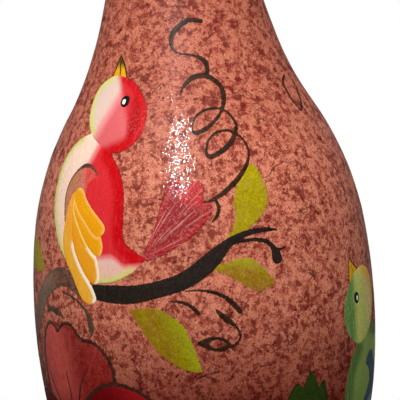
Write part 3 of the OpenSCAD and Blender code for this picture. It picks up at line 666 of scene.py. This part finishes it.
def evened(loop, step):
    """A closed loop with its points a step apart, and softened as a brush's edge is."""
    ends = np.roll(loop, -1, 0) - loop
    lengths = np.concatenate([[0], np.cumsum(np.hypot(*ends.T))])
    count = max(8, round(lengths[-1] / step))
    at = np.arange(count) * lengths[-1] / count
    closed = np.vstack([loop, loop[:1]])
    even = np.stack([np.interp(at, lengths, closed[:, i]) for i in (0, 1)], axis=1)
    return 0.5 * even + 0.25 * (np.roll(even, 1, 0) + np.roll(even, -1, 0))


def inside(points, loops):
    x, y = points[:, 0], points[:, 1]
    hit = np.zeros(len(points), bool)
    for loop in loops:
        for (x0, y0), (x1, y1) in zip(loop, np.roll(loop, -1, 0)):
            if y0 != y1:
                hit ^= ((y0 > y) != (y1 > y)) & (x < (x1 - x0) * (y - y0) / (y1 - y0) + x0)
    return hit


def motif_xz(points, origin):
    """Where points are in a motif's own flat drawing."""
    azimuth, x0, z0, way = origin
    a = math.radians(azimuth)
    return way * (points[:, 0] * math.cos(a) + points[:, 1] * math.sin(a)) - x0, points[:, 2] - z0


def outward(loop):
    """The normals of a closed loop's points, pointing out of it."""
    ahead = np.roll(loop, -1, 0) - np.roll(loop, 1, 0)
    after = np.roll(loop, -1, 0)
    area = 0.5 * np.sum(loop[:, 0] * after[:, 1] - loop[:, 1] * after[:, 0])
    normal = np.stack([ahead[:, 1], -ahead[:, 0]], axis=1) * (1 if area > 0 else -1)
    return normal / np.maximum(np.hypot(*normal.T), 1e-6)[:, None]


def brush_lines(film, brush, loop_of):
    """How far along and across its brush strokes each point of a film is."""
    x, z = film["x"], film["z"]
    if brush is None:
        px, py, pz = film["points"].T
        return pz, np.hypot(px, py) * PLAIN_ACROSS
    if brush[0] == "line":
        size = math.hypot(*brush[1:])
        dx, dz = brush[1] / size, brush[2] / size
        return x * dx + z * dz, x * dz - z * dx
    if brush[0] == "fan":
        dx, dz = x - brush[1], z - brush[2]
        return np.hypot(dx, dz), np.arctan2(dz, dx) * FAN_RADIUS
    # a leaf's or a feather's run along its own length, upwards
    along, across = np.zeros(len(x)), np.zeros(len(x))
    for i in set(loop_of):
        own = loop_of == i
        flat = np.stack([x[own], z[own]])
        flat = flat - flat.mean(1, keepdims=True)
        main = np.linalg.eigh(np.cov(flat) if own.sum() > 2 else np.eye(2))[1][:, 1]
        main = main if main[1] > 0 else -main
        along[own], across[own] = main @ flat, np.array([main[1], -main[0]]) @ flat
    return along, across


def film_plan(node, origin):
    """The outline of a film, before its mesh is made."""
    azimuth = origin[0]
    loops = outer_loops(node, azimuth)
    middle_run = np.mean(np.concatenate(loops)[:, 1])
    size = np.interp(middle_run, RUN, RADIUS) + COAT
    return {"size": size, "azimuth": math.radians(azimuth),
            "flat": [evened(loop * (size, 1), EDGE_STEP) for loop in loops]}


def lifted(plan, flat, lift):
    """A plan's flat points, on the vase."""
    return on_vase(flat[:, 0] / plan["size"] + plan["azimuth"], flat[:, 1], lift)


plans = {node: film_plan(node, origin) for node, (_, origin, _) in films.items()}
all_edges, owners = [], []
for order, (node, plan) in enumerate(plans.items()):
    plan["edge_points"] = lifted(plan, np.concatenate(plan["flat"]), COAT)
    all_edges.append(plan["edge_points"])
    owners.append(np.full(len(plan["edge_points"]), order))
all_edges, owners = np.concatenate(all_edges), np.concatenate(owners)
edge_tree = kdtree.KDTree(len(all_edges))
for i, p in enumerate(all_edges):
    edge_tree.insert(p, i)
edge_tree.balance()


def solid_side(loop, loops):
    """1, or -1 for the outline of a hole."""
    others = [other for other in loops if other is not loop and len(other) != len(loop)]
    return -1 if others and inside(loop[:1], others)[0] else 1


def clear_of(points, boundary, gap):
    """Those of the flat points that are further than gap from the boundary."""
    if not len(points):
        return points
    level = [np.column_stack([flat, np.zeros(len(flat))]) for flat in (points, boundary)]
    return points[nearest(*level, gap)[0] > gap]


def filled(grown, sides):
    """The flat points and triangles that fill closed outlines, and the directed border edges."""
    boundary = np.concatenate(grown)
    low, high = boundary.min(0), boundary.max(0)
    rows = np.arange(low[1], high[1], ROW_STEP)
    grid = np.array([(x + (i % 2) * INSIDE_STEP / 2, y) for i, y in enumerate(rows)
                     for x in np.arange(low[0], high[0], INSIDE_STEP)])
    grid = clear_of(grid[inside(grid, grown)], boundary, INSIDE_CLEAR)
    # an inner ring, where the film has risen to its full thickness
    ring = np.concatenate([loop - outward(loop) * RISE_WIDTH * side
                           for loop, side in zip(grown, sides)])
    ring = clear_of(ring[inside(ring, grown)], boundary, RISE_CLEAR)
    every = np.concatenate([boundary, ring, grid])
    links, start = [], 0
    for loop in grown:
        links += [(start + i, start + (i + 1) % len(loop)) for i in range(len(loop))]
        start += len(loop)
    cut = geometry.delaunay_2d_cdt([Vector(p) for p in every], links, [], 0, 1e-4)
    flat = np.array([tuple(p) for p in cut[0]])
    tris = np.array([tuple(f) for f in cut[2]])
    tris = tris[inside(flat[tris].mean(1), grown)]
    used, tris = np.unique(tris, return_inverse=True)
    tris = tris.reshape(-1, 3).tolist()
    edges = dict.fromkeys(edge for a, b, c in tris for edge in ((a, b), (b, c), (c, a)))
    return flat[used], tris, [(a, b) for a, b in edges if (b, a) not in edges]


def make_film(order, node):
    colours, origin, slot = films[node]
    plan = plans[node]
    free = np.array([all(owners[i] == order for _, i, _ in edge_tree.find_range(p, TOUCHING))
                     for p in plan["edge_points"]])
    # the outline, grown a little, with a hand's and a brush's unevenness
    grown = []
    for loop in plan["flat"]:
        shake = np.array([noise.noise(Vector(p) / SHAKE_WIDTH + Vector((order, 0, 0)))
                          for p in lifted(plan, loop, COAT)])
        signed = outward(loop) * solid_side(loop, plan["flat"])
        grown.append(loop + signed * (GROW + SHAKE * shake)[:, None])
    sides = [solid_side(loop, plan["flat"]) for loop in grown]
    flat, tris, border = filled(grown, sides)

    at = lifted(plan, flat, COAT)
    edge_at = lifted(plan, np.concatenate(grown), COAT)
    edge, touched = nearest(at, edge_at, NO_EDGE)
    uneven = swell(at)
    thickness = THICKNESS + LAYER * (order % LAYERS)
    rise = EDGE_RISE + thickness * smoothstep(edge, 0.0, RISE_WIDTH)
    top = lifted(plan, flat, COAT + uneven + rise)
    under = lifted(plan, flat, COAT + uneven - SUNK)
    count = len(flat)
    faces = [tuple(tri) for tri in tris]
    faces += [tuple(i + count for i in tri[::-1]) for tri in tris]
    faces += [(b, a, a + count, b + count) for a, b in border]
    piece = made_object(f"{node}_paint", np.concatenate([top, under]), faces)
    piece.data.set_sharp_from_angle(angle=SHARP)

    # what its tones and brush strokes are drawn from
    x, z = motif_xz(at, origin)
    drawn_edge = np.stack(motif_xz(edge_at, origin), 1)
    starts = np.cumsum([len(loop) for loop in grown])[:-1]
    normals = [outward(part) * side for part, side in zip(np.split(drawn_edge, starts), sides)]
    film = {"points": at, "x": x, "z": z,
            "outline": {"points": edge_at, "normal": np.concatenate(normals), "free": free}}
    loop_ids = np.repeat(np.arange(len(grown)), [len(loop) for loop in grown])
    along, across = brush_lines(film, colours["brush"], loop_ids[touched])
    open_edge = nearest(at, edge_at[free], NO_EDGE)[0]
    values = {"open_edge": open_edge, "along": along, "across": across}
    for i, (field, *_) in enumerate(colours["tones"]):
        values[f"tone_{i}"] = field(film)
    for name, numbers in values.items():
        attribute = piece.data.attributes.new(name, "FLOAT", "POINT")
        attribute.data.foreach_set("value", np.tile(numbers, 2).astype(np.float32))
    material = materials.get(id(colours))
    if material is None:
        material = materials[id(colours)] = paint_material(slot + "_" + node, colours)
    piece.data.materials.append(material)
    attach(piece, "root")
    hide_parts(node)


materials = {}
for order, node in enumerate(plans):
    make_film(order, node)


# ---- The ground coat, all the way over the lip ----

ROUND, UP, DOWN = 400, 215, 24  # points round the coat, up its outside and down its inside
BURIED = 0.02  # its inner face lies this far off the bare clay
EVEN_RUN = 6.0  # the foot's edge is even, and the unevenness comes in over this run


def make_ground():
    turns = np.arange(ROUND) * 2 * math.pi / ROUND
    points = []
    for run in np.linspace(0, RUN[-1], UP):
        runs = np.full(ROUND, run)
        lift = COAT + swell(on_vase(turns, runs, COAT)) * smoothstep(runs, 0.0, EVEN_RUN)
        points.append(on_vase(turns, runs, lift))
    for run in np.linspace(RUN[-1], 0, DOWN):
        points.append(on_vase(turns, np.full(ROUND, run), BURIED))
    faces = []
    for j in range(len(points)):
        after = (j + 1) % len(points)
        for i in range(ROUND):
            k = (i + 1) % ROUND
            faces.append((j * ROUND + i, j * ROUND + k, after * ROUND + k, after * ROUND + i))
    piece = made_object("sponged_ground", np.concatenate(points), faces)
    piece.data.materials.append(ground_material())
    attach(piece, "root")
    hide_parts("ground_coat")


make_ground()

clay = clay_material()
for node in ("foot_ring", "base_floor", "lower_body", "shoulder", "neck_base", "neck", "lip_ring"):
    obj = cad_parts[node]
    obj.data.materials.clear()
    obj.data.materials.append(clay)


# ---- Camera, level with the belly and rolled so that the vase's top leans to the left ----

ROLL = math.radians(4)
CAMERA_AT = Vector((0.00111, -1.2, 0.1292))
LENS, SENSOR = 286.5, 36
CLIP_NEAR, CLIP_FAR = 0.01, 20

camera = bpy.data.objects.new("camera", bpy.data.cameras.new("camera"))
bpy.context.scene.collection.objects.link(camera)
camera.data.sensor_width = SENSOR
camera.data.lens = LENS
camera.data.clip_start, camera.data.clip_end = CLIP_NEAR, CLIP_FAR
right = Vector((math.cos(ROLL), 0, -math.sin(ROLL)))
up = Vector((math.sin(ROLL), 0, math.cos(ROLL)))
facing = Matrix((right, up, Vector((0, -1, 0)))).transposed()
camera.matrix_world = Matrix.LocRotScale(CAMERA_AT, facing, None)
bpy.context.scene.camera = camera


# ---- Floor and light ----

FLOOR_R, FLOOR_SIDES = 220, 96
AIM_Z = 130  # the height that every light points at
DIM, BRIGHT = 0.03, 0.45  # the room on the camera's side, and beyond the vase
MIRRORED = 0.3  # how much of the room the varnish shows


def make_floor():
    material, g = new_graph("floor")
    shade = g.noise(g.place(), 0.01, 2.0)
    colour = g.mix(shade, srgb(240, 240, 240), srgb(250, 250, 250))
    shader = g.node("ShaderNodeBsdfPrincipled", {"Base Color": colour, "Roughness": 0.7})
    g.node("ShaderNodeOutputMaterial", {"Surface": shader.outputs[0]})
    turns = np.linspace(0, 2 * math.pi, FLOOR_SIDES, endpoint=False)
    ring = [(FLOOR_R * math.cos(a), FLOOR_R * math.sin(a), 0) for a in turns]
    floor = made_object("floor", ring, [tuple(range(FLOOR_SIDES))])
    floor.data.materials.append(material)
    floor.visible_diffuse = floor.visible_glossy = False


def area_light(name, azimuth, elevation, distance, width, height, power, mirrored=True):
    """A soft light. Where it isn't mirrored, it leaves no highlight on the varnish."""
    light = bpy.data.objects.new(name, bpy.data.lights.new(name, "AREA"))
    bpy.context.scene.collection.objects.link(light)
    light.data.shape = "RECTANGLE"
    light.data.size, light.data.size_y, light.data.energy = width * MM, height * MM, power
    a, e = math.radians(azimuth), math.radians(elevation)
    away = Vector((math.sin(a) * math.cos(e), -math.cos(a) * math.cos(e), math.sin(e)))
    light.location = Vector((0, 0, AIM_Z * MM)) + away * distance * MM
    light.visible_glossy = mirrored
    light.rotation_mode = "QUATERNION"
    light.rotation_quaternion = away.to_track_quat("Z", "Y")


make_floor()
area_light("key", -13, 43.5, 1200, 44, 640, 17.6)
area_light("fill", -60, 65, 1300, 900, 900, 3.0)
area_light("side", 78, 22, 1300, 700, 700, 5.4, mirrored=False)
area_light("back", 180, 30, 1300, 900, 900, 4.0, mirrored=False)

# a white backdrop, and a room that is dim but for its far side
world = bpy.data.worlds.new("studio")
bpy.context.scene.world = world
world.use_nodes = True
world.node_tree.nodes.clear()
g = Graph(world.node_tree)
toward = g.split(g.node("ShaderNodeTexCoord").outputs["Generated"])
behind = g.math("MULTIPLY", g.step(toward[1], 0.1, 0.9), g.step(toward[2], -0.25, 0.15))
room = g.mix(behind, grey(DIM), grey(BRIGHT))
rays = g.node("ShaderNodeLightPath").outputs
room = g.mix(rays["Is Glossy Ray"], room, grey(MIRRORED), "MULTIPLY")
backdrop = g.mix(rays["Is Camera Ray"], room, grey(1))
shown = g.node("ShaderNodeBackground", {"Color": backdrop}).outputs[0]
g.node("ShaderNodeOutputWorld", {"Surface": shown})
